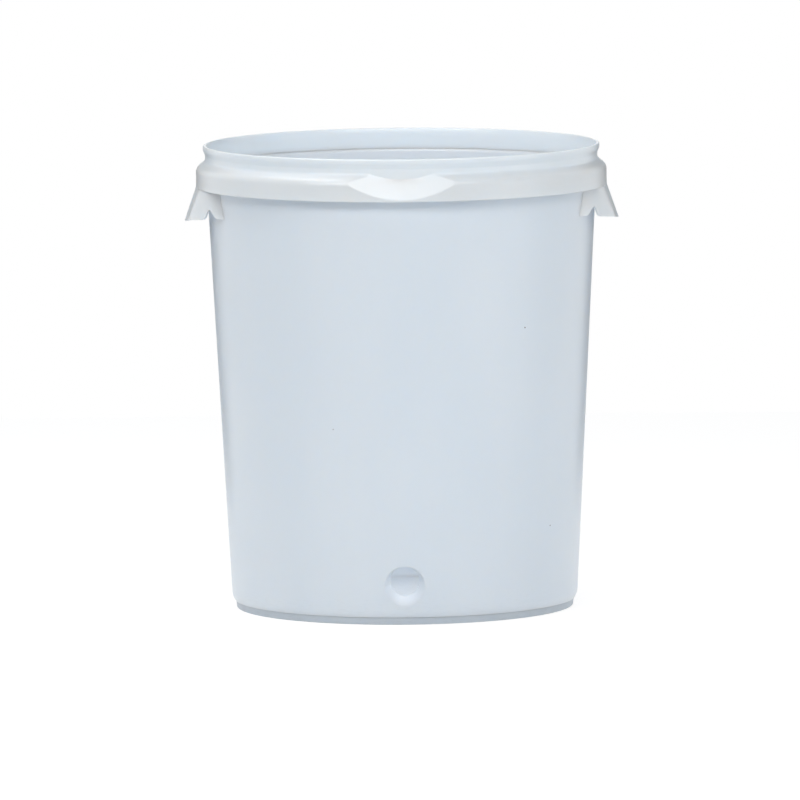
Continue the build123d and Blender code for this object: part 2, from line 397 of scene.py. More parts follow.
bm = bmesh.new()
outside_rings = [ring(bm, wall_radius(z), z, wall_angles) for z in window_heights]
inside_rings = [ring(bm, wall_radius(z) - wall_inset, z, wall_angles) for z in window_heights]
for rings in (outside_rings, inside_rings):
    for low, high in zip(rings, rings[1:]):
        join(bm, low, high, skipped=window_columns)
print("the window spans", len(window_heights), "rings of", len(wall_angles), "points")

# %% Close the wall over its upper edge and across its floor
ledge_start = neck_radius - neck_thickness - proud
ledge_end = wall_radius(wall_top - ledge_fall) - wall_inset
ledge = rounded(
    [
        (wall_radius(wall_top), wall_top, 0),
        (ledge_start, wall_top, 0),
        (ledge_end, wall_top - ledge_fall, ledge_rounding),
        (*inner_low, 0),
    ]
)
over_the_top = [(wall_radius(z), z) for z in upper_heights]
over_the_top += ledge[:-1]
over_the_top += [(wall_radius(z) - wall_inset, z) for z in reversed(upper_heights[:-1])]
last = carry_on(bm, outside_rings[-1], over_the_top, wall_angles)
join(bm, last, inside_rings[-1])

last = carry_on(bm, outside_rings[0], corner_arc()[-2::-1] + under[::-1], wall_angles)
fan(bm, last, floor_lift + gate_well_depth)
last = carry_on(bm, inside_rings[0], inside[1:], wall_angles)
fan(bm, last, floor_top)
print("the ledge inside is", round((ledge_start - ledge_end) / mm, 1), "mm wide")

# %% Fill the window with the dish, the hole and the pad
mouth_shares = (0.35, 0.7, 0.9, 1)
pad_shares = (1, 0.6, 0.3)

outer_border = window_border(outside_rings)
inner_border = window_border(inside_rings)
mouth = patch(bm, outer_border, spread(outer_border, dish_radius, 0, mouth_shares))
edge = patch(bm, mouth, dish_rings(outer_border))
bore = patch(
    bm,
    edge,
    [
        *hole_edge_rings(outer_border),
        flat_ring(outer_border, hole_radius, hole_height, boss_back + edge_rounding),
        flat_ring(outer_border, hole_radius + edge_rounding, hole_height, boss_back),
        flat_ring(outer_border, boss_radius - edge_rounding, dish_height, boss_back),
        flat_ring(outer_border, boss_radius, dish_height, boss_back + edge_rounding),
    ],
)
pad_foot = patch(bm, bore, spread(inner_border, boss_radius, wall_inset, pad_shares))
join(bm, pad_foot, inner_border)
wall = as_object("wall", bm)

# %% [markdown]
# ## The collar
#
# Neck, lid bead, shoulder and band are one piece of plastic with one flowing section, so they are one turned
# mesh here. The section is drawn in three runs: the rim, the outside of shoulder and band, and the inside of
# the hollow band. Each point notes how far it lies behind the outer face, because the flat at the front is
# pressed in later and has to keep the plastic's thickness.

# %% Section of the collar
lip_lead_in = 1.4 * mm
lip_flare = 4.3 * mm
lip_inner_radius = 0.9 * mm
lip_outer_radius = 1.4 * mm
lip_belly_radius = 5.0 * mm
lip_root_radius = 1.6 * mm
lead_in_steps = 6
neck_clear = 4.9 * mm
shoulder_slope = math.radians(38)
shoulder_fillet = 3.5 * mm
band_top_rounding = 8.0 * mm
band_edge_rounding = 0.7 * mm
skirt_thickness = 2.0 * mm

neck_bore = neck_radius - neck_thickness
band_bore = band_radius - skirt_thickness
shoulder_top = lip_bottom - neck_clear
slope = math.tan(shoulder_slope)
band_corner = shoulder_top - (band_radius - neck_radius) * slope
ceiling_drop = skirt_thickness / math.cos(shoulder_slope)
ceiling_at_neck = shoulder_top - ceiling_drop
ceiling_at_band = ceiling_at_neck - (band_bore - neck_radius) * slope

lead_in_radius = (lip_lead_in**2 + (rim_top - lip_bottom) ** 2) / (2 * lip_lead_in)
lead_in = []
for step in range(1, lead_in_steps):
    climb = (rim_top - lip_bottom) * step / lead_in_steps
    hollow = math.sqrt(lead_in_radius**2 - climb**2)
    lead_in.append((neck_bore + lead_in_radius - hollow, lip_bottom + climb, 0))

rim_section = rounded(
    [(neck_bore, wall_top, 0), (neck_bore, lip_bottom, 0)]
    + lead_in
    + [
        (neck_bore + lip_lead_in, rim_top, lip_inner_radius),
        (lip_radius, rim_top, lip_outer_radius),
        (lip_radius, lip_bottom + lip_flare, lip_belly_radius),
        (neck_radius, lip_bottom, lip_root_radius),
        (neck_radius, shoulder_top + shoulder_fillet, 0),
    ]
)
outer_section = rounded(
    [
        (neck_radius, lip_bottom, 0),
        (neck_radius, shoulder_top, shoulder_fillet),
        (band_radius, band_corner, band_top_rounding),
        (band_radius, band_bottom, band_edge_rounding),
        (band_bore, band_bottom, 0),
    ]
)[1:-1]
inner_section = rounded(
    [
        (band_radius, band_bottom, 0),
        (band_bore, band_bottom, edge_rounding),
        (band_bore, ceiling_at_band, band_top_rounding - skirt_thickness),
        (neck_radius, ceiling_at_neck, edge_rounding),
        (neck_radius, wall_top, 0),
    ]
)[1:-1]
print("collar section:", len(rim_section), len(outer_section), len(inner_section), "points")

# %% Turn the collar
relief_half_turn = math.radians(21)
relief_columns = 168
relief_rows = 0.8 * mm
rim_rows = 4 * mm
never = -1.0

collar_angles = columns(relief_half_turn, relief_columns)
sections = [(point, never) for point in divided(rim_section, rim_rows)]
sections += [(point, 0.0) for point in divided(outer_section, relief_rows)]
sections += [(point, skirt_thickness) for point in divided(inner_section, relief_rows)]
sections += [(Vector((neck_radius, wall_top)), never)]

bm = bmesh.new()
behind = bm.verts.layers.float.new("behind")
collar_rings = []
for (radius, height), offset in sections:
    collar_rings.append(ring(bm, radius, height, collar_angles))
    for vertex in collar_rings[-1]:
        vertex[behind] = offset
join_round(bm, collar_rings)
collar = as_object("collar", bm)

# %% [markdown]
# ## Node trees in few words
#
# The finishes, the relief and the ribs are node trees. Written link by link a tree hides its idea, so a few
# helpers come first: one adds a node and feeds its inputs, and the others give back a result that the next
# call takes. A tree that makes shapes has named inputs, runs on a piece and leaves a plain mesh.

# %% Helpers for every tree
def wire(tree, value, socket):
    """Feeds a socket from another socket, or sets its value."""
    if isinstance(value, bpy.types.NodeSocket):
        tree.links.new(value, socket)
    else:
        socket.default_value = value


def add(tree, kind, inputs=None, **settings):
    """A node with its own settings, and with its inputs fed by name or by number."""
    node = tree.nodes.new(kind)
    for name, value in settings.items():
        setattr(node, name, value)
    for name, value in (inputs or {}).items():
        wire(tree, value, node.inputs[name])
    return node


def maths(tree, operation, *values):
    """A Math node's result."""
    return add(tree, "ShaderNodeMath", dict(enumerate(values)), operation=operation).outputs[0]


def vector(tree, operation, *values):
    """A Vector Math node's result, a number where the operation gives one."""
    node = add(tree, "ShaderNodeVectorMath", dict(enumerate(values)), operation=operation)
    return node.outputs["Value" if operation in ("LENGTH", "DOT_PRODUCT", "DISTANCE") else "Vector"]


def scaled(tree, direction, factor):
    """A vector times a number."""
    inputs = {0: direction, "Scale": factor}
    return add(tree, "ShaderNodeVectorMath", inputs, operation="SCALE").outputs["Vector"]


def combined(tree, **parts):
    """A vector from its parts X, Y and Z. A part that isn't given is 0."""
    return add(tree, "ShaderNodeCombineXYZ", parts).outputs[0]


def part(tree, whole, axis):
    """One part of a vector."""
    return add(tree, "ShaderNodeSeparateXYZ", {0: whole}).outputs[axis]


def eased(tree, value, start, end, low=0.0, high=1.0):
    """A number that goes softly from low to high while a value goes from start to end."""
    inputs = {"Value": value, "From Min": start, "From Max": end, "To Min": low, "To Max": high}
    return add(tree, "ShaderNodeMapRange", inputs, interpolation_type="SMOOTHSTEP").outputs["Result"]


# %% Helpers for trees that make shapes
def geometry_tree(name, inputs):
    """An empty Geometry Nodes tree with named inputs, given as name: (socket type, value)."""
    tree = bpy.data.node_groups.new(name, "GeometryNodeTree")
    tree.interface.new_socket("Geometry", in_out="INPUT", socket_type="NodeSocketGeometry")
    tree.interface.new_socket("Geometry", in_out="OUTPUT", socket_type="NodeSocketGeometry")
    for label, (kind, _) in inputs.items():
        tree.interface.new_socket(label, in_out="INPUT", socket_type=kind)
    return tree, add(tree, "NodeGroupInput").outputs


def end_tree(tree, shape, material):
    """Ends a tree: copies are made real, and the faces take the material."""
    real = add(tree, "GeometryNodeRealizeInstances", {"Geometry": shape})
    paint = add(tree, "GeometryNodeSetMaterial", {"Geometry": real.outputs[0], "Material": material})
    add(tree, "NodeGroupOutput", {"Geometry": paint.outputs[0]})


def apply_tree(piece, tree, inputs):
    """Runs a tree on a piece with its inputs' values and keeps the result as a plain mesh."""
    modifier = piece.modifiers.new(tree.name, "NODES")
    modifier.node_group = tree
    sockets = {item.name: item.identifier for item in tree.interface.items_tree if item.in_out == "INPUT"}
    for label, (_, value) in inputs.items():
        modifier[sockets[label]] = value
    evaluated = piece.evaluated_get(bpy.context.evaluated_depsgraph_get())
    made = bpy.data.meshes.new_from_object(evaluated)
    piece.modifiers.remove(modifier)
    piece.data = made
    made.name = piece.name
    print(piece.name, "after", tree.name, "has", len(made.polygons), "faces")


# %% [markdown]
# ## One plastic, several finishes
#
# The whole bucket is the same milky polypropylene. What differs is how its surface was made and used: the
# wall came off a mould with a fine texture, the collar off a smoother one, and the foot ring is scuffed.
# Their whites differ as painted shade: the wall's are a little darker than the collar's, and the foot
# ring's much darker, for the shade where it meets the floor. Grain, flow marks and scuffs could be written
# into each material. They are shader node groups with named inputs instead, built once, so that the
# finishes differ in a few values only.

# %% Shader node groups
grain_scale = 1400.0
wave_scale = 45.0
cloud_scale = 14.0
cloud_stretch = (1.0, 1.0, 0.35)
streak_stretch = (1.0, 1.0, 5.0)
streak_scale = 160.0


def shader_group(name, inputs, output):
    """An empty shader node group with inputs, given as name: number or place, and one number as output."""
    tree = bpy.data.node_groups.new(name, "ShaderNodeTree")
    for label, value in inputs.items():
        kind = "NodeSocketVector" if isinstance(value, tuple) else "NodeSocketFloat"
        tree.interface.new_socket(label, in_out="INPUT", socket_type=kind).default_value = value
    tree.interface.new_socket(output, in_out="OUTPUT", socket_type="NodeSocketFloat")
    place = add(tree, "ShaderNodeTexCoord").outputs["Object"]
    return tree, add(tree, "NodeGroupInput").outputs, place, add(tree, "NodeGroupOutput").inputs[output]


def noise(tree, place, scale, detail=2.0):
    """A noise texture's grey value."""
    inputs = {"Vector": place, "Scale": scale, "Detail": detail}
    return add(tree, "ShaderNodeTexNoise", inputs).outputs["Fac"]


def moulding_texture():
    """Fine grain of the mould with a slow waviness under it, as a height."""
    tree, given, place, result = shader_group("Moulding texture", {"Grain": 0.25, "Waviness": 1.0}, "Height")
    grain = maths(tree, "MULTIPLY", noise(tree, place, grain_scale), given["Grain"])
    waves = maths(tree, "MULTIPLY", noise(tree, place, wave_scale), given["Waviness"])
    wire(tree, maths(tree, "ADD", grain, waves), result)
    return tree


def flow_marks():
    """Where the melt ran up from the gate: faint upright clouds, from 0 to 1."""
    tree, given, place, result = shader_group("Flow marks", {"Scale": cloud_scale}, "Mask")
    clouds = noise(tree, vector(tree, "MULTIPLY", place, cloud_stretch), given["Scale"], 3.0)
    wire(tree, eased(tree, clouds, 0.35, 0.65), result)
    return tree


def scuffs():
    """Rubbed marks that fade out above a height, from 0 to 1."""
    tree, given, place, result = shader_group("Scuffs", {"Height": 0.02, "Amount": 0.5}, "Mask")
    up = maths(tree, "DIVIDE", part(tree, place, "Z"), given["Height"])
    fading = add(tree, "ShaderNodeClamp", {"Value": maths(tree, "SUBTRACT", 1.0, up)}).outputs["Result"]
    streaks = noise(tree, vector(tree, "MULTIPLY", place, streak_stretch), streak_scale, 4.0)
    marks = maths(tree, "MULTIPLY", eased(tree, streaks, 0.5, 0.72), fading)
    wire(tree, maths(tree, "MULTIPLY", marks, given["Amount"]), result)
    return tree


def spot():
    """A round spot, 1 inside its radius and 0 outside."""
    tree, given, place, result = shader_group("Spot", {"Centre": (0.0, 0.0, 0.0), "Radius": 0.0006}, "Mask")
    away = vector(tree, "DISTANCE", place, given["Centre"])
    wire(tree, maths(tree, "LESS_THAN", away, given["Radius"]), result)
    return tree


effects = {"texture": moulding_texture(), "flow": flow_marks(), "scuffs": scuffs(), "spot": spot()}
print("node groups:", ", ".join(tree.name for tree in effects.values()))

# %% What the plastic is like
milky_white = (0.82, 0.87, 0.925, 1.0)
flow_tint = (0.805, 0.86, 0.92, 1.0)
# Painted shade: the wall's two whites are the collar's made a little darker, so that the wall looks dimmer.
wall_painted_shade_white = (0.775, 0.825, 0.885, 1.0)
wall_painted_shade_tint = (0.76, 0.815, 0.88, 1.0)
# Painted shade: the foot ring's two whites are much darker, for the shade where it meets the floor.
foot_painted_shade_white = (0.66, 0.72, 0.78, 1.0)
foot_painted_shade_tint = (0.64, 0.70, 0.765, 1.0)
scuff_grey = (0.50, 0.52, 0.54, 1.0)
speck_brown = (0.16, 0.14, 0.13, 1.0)
plastic_ior = 1.49
scatter_share = 0.9
scatter_colour = (1.0, 1.1, 1.2)
scatter_depth = 3.0 * mm
flow_dulling = 0.06
scuff_dulling = 0.25
bump_strength = 0.35
bump_height = 0.1 * mm
mix_first = 6
mix_second = 7
mix_result = 2


def placed(tree, effect, **values):
    """One of the node groups, in a material, with its own values."""
    return add(tree, "ShaderNodeGroup", values, node_tree=effects[effect]).outputs[0]


def mixed(tree, mask, first, second):
    """A colour from first to second as the mask goes from 0 to 1. Its sockets for colours go by number."""
    inputs = {"Factor": mask, mix_first: first, mix_second: second}
    return add(tree, "ShaderNodeMix", inputs, data_type="RGBA").outputs[mix_result]


def polypropylene(name, whites, roughness, shine, grain, waviness, scuffed=(), specks=()):
    """Milky white plastic. Scuffed is an amount and a height, and each speck a place and a radius."""
    material = bpy.data.materials.new(name)
    material.use_nodes = True
    tree = material.node_tree
    flow = placed(tree, "flow")
    colour = mixed(tree, flow, *whites)
    rough = maths(tree, "MULTIPLY_ADD", flow, flow_dulling, roughness)
    if scuffed:
        amount, height = scuffed
        marks = placed(tree, "scuffs", Height=height, Amount=amount)
        colour = mixed(tree, marks, colour, scuff_grey)
        rough = maths(tree, "MULTIPLY_ADD", marks, scuff_dulling, rough)
    for centre, radius in specks:
        colour = mixed(tree, placed(tree, "spot", Centre=centre, Radius=radius), colour, speck_brown)
    texture = placed(tree, "texture", Grain=grain, Waviness=waviness)
    relief = {"Strength": bump_strength, "Distance": bump_height, "Height": texture}
    surface = {
        "Base Color": colour,
        "Roughness": rough,
        "Normal": add(tree, "ShaderNodeBump", relief).outputs["Normal"],
        "IOR": plastic_ior,
        "Specular IOR Level": shine,
        "Subsurface Weight": scatter_share,
        "Subsurface Radius": scatter_colour,
        "Subsurface Scale": scatter_depth,
    }
    for label, value in surface.items():
        wire(tree, value, tree.nodes["Principled BSDF"].inputs[label])
    return material


# %% Mix the finishes
speck_places = ((106 * mm, 256 * mm, 0.7 * mm), (127 * mm, 79 * mm, 0.6 * mm), (-61 * mm, 171 * mm, 0.4 * mm))
wall_specks = [(tuple(on_wall(x, z, 0)), radius) for x, z, radius in speck_places]
fresh = (milky_white, flow_tint)
# Painted shade: the wall's whites are darker than the collar's.
wall_shaded_whites = (wall_painted_shade_white, wall_painted_shade_tint)
# Painted shade: the foot's whites are darker still, for the shade at the floor.
foot_shaded_whites = (foot_painted_shade_white, foot_painted_shade_tint)
wall_scuffs = (0.12, 30 * mm)
foot_scuffs = (0.25, 12 * mm)
# After its two whites, a finish gives its roughness, shine, grain and waviness.
# The wall's finish carries painted shade in its whites.
textured_and_shaded = polypropylene("textured plastic", wall_shaded_whites, 0.29, 1.0, 0.20, 1.0, wall_scuffs, wall_specks)
smooth = polypropylene("smooth plastic", fresh, 0.29, 1.0, 0.12, 0.6)
# The foot's finish carries painted shade in its whites, for the shade at the floor; its scuffs are wear.
rubbed_and_shaded = polypropylene("rubbed plastic", foot_shaded_whites, 0.50, 0.3, 0.35, 0.8, foot_scuffs)
print("finishes:", textured_and_shaded.name, smooth.name, rubbed_and_shaded.name)

# %% [markdown]
# ## The flat relief
#
# On the real bucket a flat that leans back is pressed into the band's front and cuts its upper edge. A
# boolean cut would open the thin band. The flat follows a rule instead: a plane leans back, and every point
# in front of it slides towards the band's root until it lies in the plane. Geometry Nodes apply that rule,
# and the same rule with an offset keeps the plastic behind the flat as thick as elsewhere.

# %% Press the relief into the collar
relief_tilt = math.radians(24.6)
relief_rise = 1.6 * mm
crease_softness = 0.035
level_only = (1.0, 1.0, 0.0)
alike = 0.0001


def relief_tree():
    """Slides what lies in front of the leaning plane back towards the band's root."""
    inputs = {
        "Plane point": ("NodeSocketVector", (0.0, -band_radius, band_bottom + relief_rise)),
        "Plane normal": ("NodeSocketVector", (0.0, -math.cos(relief_tilt), math.sin(relief_tilt))),
        "Root radius": ("NodeSocketFloat", wall_radius(band_bottom)),
        "Root height": ("NodeSocketFloat", band_bottom),
        "Neck radius": ("NodeSocketFloat", neck_radius),
        "Softness": ("NodeSocketFloat", crease_softness),
        "Material": ("NodeSocketMaterial", smooth),
    }
    tree, given = geometry_tree("Press the relief", inputs)
    place = add(tree, "GeometryNodeInputPosition").outputs[0]
    noted = add(tree, "GeometryNodeInputNamedAttribute", {"Name": "behind"}, data_type="FLOAT")
    offset = noted.outputs["Attribute"]
    outwards = vector(tree, "NORMALIZE", vector(tree, "MULTIPLY", place, level_only))
    lift = combined(tree, Z=given["Root height"])
    root = vector(tree, "ADD", scaled(tree, outwards, given["Root radius"]), lift)

    def in_front(point):
        """How far a point lies in front of the plane, counted from its own offset."""
        away = vector(tree, "SUBTRACT", point, given["Plane point"])
        return maths(tree, "ADD", vector(tree, "DOT_PRODUCT", away, given["Plane normal"]), offset)

    root_depth = in_front(root)
    share = maths(tree, "DIVIDE", root_depth, maths(tree, "SUBTRACT", root_depth, in_front(place)))
    ahead = maths(tree, "GREATER_THAN", share, 0.0)
    kept = maths(tree, "SMOOTH_MIN", share, 1.0, given["Softness"])
    pressed = vector(tree, "ADD", root, scaled(tree, vector(tree, "SUBTRACT", place, root), kept))
    pressed_radius = vector(tree, "LENGTH", vector(tree, "MULTIPLY", pressed, level_only))
    grow = maths(tree, "MAXIMUM", 1.0, maths(tree, "DIVIDE", given["Neck radius"], pressed_radius))
    outer = maths(tree, "COMPARE", offset, 0.0, alike)
    grow = maths(tree, "ADD", 1.0, maths(tree, "MULTIPLY", outer, maths(tree, "SUBTRACT", grow, 1.0)))
    moves = {
        "Geometry": given["Geometry"],
        "Selection": maths(tree, "MULTIPLY", ahead, maths(tree, "GREATER_THAN", offset, never / 2)),
        "Position": vector(tree, "MULTIPLY", pressed, combined(tree, X=grow, Y=grow, Z=1.0)),
    }
    end_tree(tree, add(tree, "GeometryNodeSetPosition", moves).outputs[0], given["Material"])
    return tree, inputs


relief, relief_inputs = relief_tree()
apply_tree(collar, relief, relief_inputs)

# %% [markdown]
# ## Ribs in the hollow band
#
# Thin upright ribs stiffen the skirt between band and wall, one every 15 degrees, and none where the grips
# are. One rib is drawn as a flat outline with a thickness. A loop could turn it into copies, but Geometry
# Nodes keep the count and the gap as inputs that can be changed. The relief's rule then draws back the ribs
# behind the flat.

# %% One rib
rib_pitch = math.radians(15)
rib_thickness = 1.6 * mm
rib_lift = 5.0 * mm
rib_rows = 1.5 * mm
rib_grip_gap = math.radians(5)
plate_low_turn = math.radians(24.4)

rib_low = band_bottom + rib_lift
rib_corners = [
    Vector((wall_radius(rib_low) - buried, rib_low)),
    Vector((band_bore + buried, rib_low)),
    Vector((band_bore + buried, ceiling_at_band)),
    Vector((neck_radius, ceiling_at_neck + buried)),
    Vector((wall_radius(wall_top) - buried, wall_top)),
]
rib_outline = divided(rib_corners, rib_rows, closed=True)

bm = bmesh.new()
behind = bm.verts.layers.float.new("behind")
sides = []
for half in (-rib_thickness / 2, rib_thickness / 2):
    side = [bm.verts.new((point.x, half, point.y)) for point in rib_outline]
    for vertex in side:
        vertex[behind] = skirt_thickness - buried
    bm.faces.new(side)
    sides.append(side)
join(bm, *sides)
ribs = as_object("ribs", bm)


# %% Repeat the rib round the skirt
def rib_tree():
    """Turns copies of the incoming rib about the axis, at an even pitch and clear of the grips."""
    inputs = {
        "Count": ("NodeSocketInt", round(2 * math.pi / rib_pitch)),
        "Clear of grips": ("NodeSocketFloat", math.sin(plate_low_turn + rib_grip_gap)),
        "Material": ("NodeSocketMaterial", smooth),
    }
    tree, given = geometry_tree("Ribs in the skirt", inputs)
    pitch = maths(tree, "DIVIDE", 2 * math.pi, given["Count"])
    turn = maths(tree, "MULTIPLY", add(tree, "GeometryNodeInputIndex").outputs[0], pitch)
    from_grips = maths(tree, "ABSOLUTE", maths(tree, "SINE", turn))
    copies = {
        "Points": add(tree, "GeometryNodePoints", {"Count": given["Count"]}).outputs[0],
        "Selection": maths(tree, "GREATER_THAN", from_grips, given["Clear of grips"]),
        "Instance": given["Geometry"],
        "Rotation": combined(tree, Z=turn),
    }
    end_tree(tree, add(tree, "GeometryNodeInstanceOnPoints", copies).outputs[0], given["Material"])
    return tree, inputs


apply_tree(ribs, *rib_tree())
apply_tree(ribs, relief, relief_inputs)

# %% [markdown]
# ## The foot ring
#
# The bucket stands on a thin ring, set in a little from the corner above it. It could be part of the turned
# wall, but it wears differently and its whites are much darker, painted shade where it meets the floor.
# So it has a finish of its own and is a ring by itself, with its top edge buried in the corner, and
# the two read as one moulding.

# %% Turn the foot ring
foot_edge_rounding = 0.6 * mm
foot_half_turn = math.radians(22)
foot_columns = 22

foot_section = rounded(
    [
        (foot_bore, 0, edge_rounding),
        (foot_base_radius, 0, foot_edge_rounding),
        (foot_top_radius, foot_height, 0),
        (foot_top_radius, foot_height + buried, 0),
        (foot_bore, foot_height + buried, 0),
    ]
)
even_angles = columns(foot_half_turn, foot_columns)
bm = bmesh.new()
join_round(bm, [ring(bm, radius, height, even_angles) for radius, height in foot_section])
foot = as_object("foot", bm)

# %% [markdown]
# ## The grips
#
# At each side the band is drawn on downwards and outwards into a flap, and a plate at each end of the flap
# ties it back to the wall. A flat plate with a thickness couldn't follow the bow, the lean and the notch. So
# all are thin strips: a closed section that moves along and changes on its way, with a cap at each end. One
# helper makes such a strip from its sections, and a small bevel rounds every edge.

# %% A strip from its sections
strip_bevel = 0.35 * mm
strip_bevel_steps = 3


def strip(name, sections):
    """A closed solid from sections of as many points, one after another, with rounded edges."""
    bm = bmesh.new()
    loops = [[bm.verts.new(point) for point in section] for section in sections]
    for first_loop, second_loop in zip(loops, loops[1:]):
        join(bm, first_loop, second_loop)
    bm.faces.new(loops[0])
    bm.faces.new(loops[-1])
    piece = as_object(name, bm)
    bevel = piece.modifiers.new("Soft edges", "BEVEL")
    bevel.width = strip_bevel
    bevel.segments = strip_bevel_steps
    bevel.limit_method = "ANGLE"
    bevel.angle_limit = sharp_from
    bevel.harden_normals = True
    return piece


# %% Sizes of the grips
flap_thickness = 2.2 * mm
flap_half_turn = math.radians(9.3)
flap_edge_rise = 2.2 * mm
plate_thickness = 2.0 * mm
plate_bow = 4.5 * mm
plate_high_turn = math.radians(21.3)
lobe_rise = 4.6 * mm
plate_rise = 6.0 * mm
notch_height = 9.0 * mm
notch_start = 28.0 * mm
notch_peak = notch_start + 4.5 * mm
notch_foot = notch_peak + 9.0 * mm
notch_lip_radius = 5.0 * mm
notch_tip_radius = 1.8 * mm
flap_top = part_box("right_grip_flap")[1].z

flap_flare = (flap_radius - band_radius) / (band_bottom - flap_bottom)
flap_inset = flap_thickness * math.hypot(1, flap_flare)
flap_bend = band_bottom - (flap_inset - skirt_thickness) / flap_flare
bend_softness = 2.5 * mm
sunk = 0.06 * mm
print("the flaps lean out by", round(math.degrees(math.atan(flap_flare)), 1), "degrees")


def flap_outside(z):
    """Outer radius of band and flap at a height, with a soft bend between them."""
    below = band_bottom - z
    drawn = (below + math.sqrt(below**2 + bend_softness**2)) / 2
    return band_radius + drawn * flap_flare - bend_softness**2 / 4 / (abs(below) + bend_softness) * flap_flare


def flap_inside(z):
    """Inner radius of band and flap at a height."""
    return band_bore + max(0, flap_bend - z) * flap_flare


# %% Build the flaps
flap_shares = (0, 0.04, 0.12, 0.2, 0.26, 0.3, 0.34, 0.38, 0.45, 0.6, 0.8, 1)
flap_levels = [flap_top - share * (flap_top - flap_bottom) for share in flap_shares]
flap_columns = 16
flap_half_width = flap_radius * math.sin(flap_half_turn)
flap_edge_radius = (flap_half_width**2 + flap_edge_rise**2) / (2 * flap_edge_rise)


def flap_sections(side):
    """Sections of a flap, from its rear end to its front end. The lower edge is an arc that rises to both."""
    for column in range(flap_columns + 1):
        turn = flap_half_turn * (1 - 2 * column / flap_columns)
        lift = flap_edge_radius - math.sqrt(flap_edge_radius**2 - (flap_radius * math.sin(turn)) ** 2)
        outside = []
        inside = []
        for level in flap_levels:
            z = level + lift * (flap_top - level) / (flap_top - flap_bottom)
            shift = -sunk if level == flap_top else proud
            outside.append((flap_outside(z) + shift, z))
            inside.append((flap_inside(z), z))
        loop = outside + inside[::-1]
        yield [(side * radius * math.cos(turn), radius * math.sin(turn), z) for radius, z in loop]


hands = {"right": 1, "left": -1}
flaps = {}
for hand, side in hands.items():
    flaps[hand + "_grip_flap"] = strip(hand + "_flap", list(flap_sections(side)))

# %% Build the end plates
plate_into_flap = 1.0 * mm
plate_into_wall = 3.0 * mm
plate_levels = 9
plate_rows = 3 * mm
band_edge = 0.6 * mm


def plate_ends(z):
    """Where an end plate's outer face meets flap and wall at a height, for the right grip's rear plate."""
    down = min(1, max(0, (band_bottom - z) / (band_bottom - flap_bottom)))
    wall_turn = plate_high_turn + (plate_low_turn - plate_high_turn) * down
    ends = []
    for radius, turn in ((flap_outside(z), flap_half_turn), (wall_radius(z), wall_turn)):
        ends.append(Vector((radius * math.cos(turn), radius * math.sin(turn), z)))
    return ends


def plate_point(share, z, depth):
    """A point of a plate: at a share of the way from flap to wall, on its outward bow, in by a depth."""
    start, end = plate_ends(z)
    chord = end - start
    outward = Vector((chord.y, -chord.x, 0)).normalized()
    tangent = chord + outward * 4 * plate_bow * (1 - 2 * share)
    normal = Vector((tangent.y, -tangent.x, 0)).normalized()
    point = start + chord * share + outward * 4 * plate_bow * share * (1 - share) - normal * depth
    limit = band_bore + buried if z > band_bottom else flap_radius
    radius = math.hypot(point.x, point.y)
    if radius > limit:
        point.xy = point.xy * limit / radius
    return point


def plate_edge():
    """Lower edge of a plate as (share of its width, height above the flap's edge), with its notch."""
    low_start, low_end = plate_ends(flap_bottom)
    along = (low_end - low_start).normalized()
    edge = rounded(
        [
            (-plate_into_flap, flap_edge_rise, 0),
            (notch_start, lobe_rise, notch_lip_radius),
            (notch_peak, plate_rise + notch_height, notch_tip_radius),
            (notch_foot, plate_rise, notch_lip_radius),
            ((low_end - low_start).length + plate_into_wall, plate_rise, 0),
        ]
    )
    for point in divided(edge, plate_rows):
        start, end = plate_ends(flap_bottom + point.y)
        yield (point.x - (start - low_start).dot(along)) / (end - start).dot(along), point.y


def plate_sections(side, end_sign):
    """Sections of an end plate, from flap to wall, each from the skirt's ceiling to the lower edge."""
    for share, lift in plate_edge():
        skin = proud + sunk if share < 0 else 0
        outside = []
        inside = []
        for depth, face in ((skin, outside), (plate_thickness, inside)):
            at_top = plate_point(share, ceiling_at_band, depth)
            ceiling = ceiling_at_band + max(0, band_bore - math.hypot(at_top.x, at_top.y)) * slope
            heights = [min(ceiling, ceiling_at_neck) + buried, band_bottom + band_edge]
            heights += rise(band_bottom - proud, flap_bottom + lift, plate_levels)
            face += [plate_point(share, z, depth) for z in heights]
        yield [(side * point.x, end_sign * point.y, point.z) for point in outside + inside[::-1]]


plates = {}
for hand, side in hands.items():
    for end_name, end_sign in (("rear", 1), ("front", -1)):
        piece = strip(hand + "_" + end_name + "_end", list(plate_sections(side, end_sign)))
        plates[hand + "_grip_" + end_name + "_plate"] = piece

# %% [markdown]
# ## Hand the pieces to the frame
#
# The bucket is one moulding without a joint, so every piece rides on the CAD model's one body. Each piece
# hides the CAD nodes that it stands for and takes its finish.

# %% Dress and attach the pieces
stands_for = {
    wall: (textured_and_shaded, ["side_wall", "floor", "floor_corner", "tap_boss"]),
    collar: (smooth, ["neck", "lid_bead", "shoulder", "front_band", "rear_band", "front_relief"]),
    ribs: (smooth, ["skirt_ribs"]),
    foot: (rubbed_and_shaded, ["foot_ring"]),
}
for node, piece in {**flaps, **plates}.items():
    stands_for[piece] = (smooth, [node])
for piece, (finish, nodes) in stands_for.items():
    piece.data.materials.clear()
    piece.data.materials.append(finish)
    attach(piece, "root")
    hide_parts(*nodes)
print(len(stands_for), "pieces stand for", sum(len(nodes) for _, nodes in stands_for.values()), "CAD nodes")

# %% [markdown]
# ## Studio
#
# The bucket stands on a plain pale sheet. The fill is dim in front and bright behind, which keeps the white
# wall looking round. One long softbox high in front puts the shine on the rim, on the band's upper edge and
# on the flat. A smaller one carries it round to the left, and a weak one lifts the right. A small round lamp
# inside stands for the daylight that a thin milky wall lets through. Two black flags beside the bucket, which
# only reflections see, draw the fine dark line along the sides of a white object.

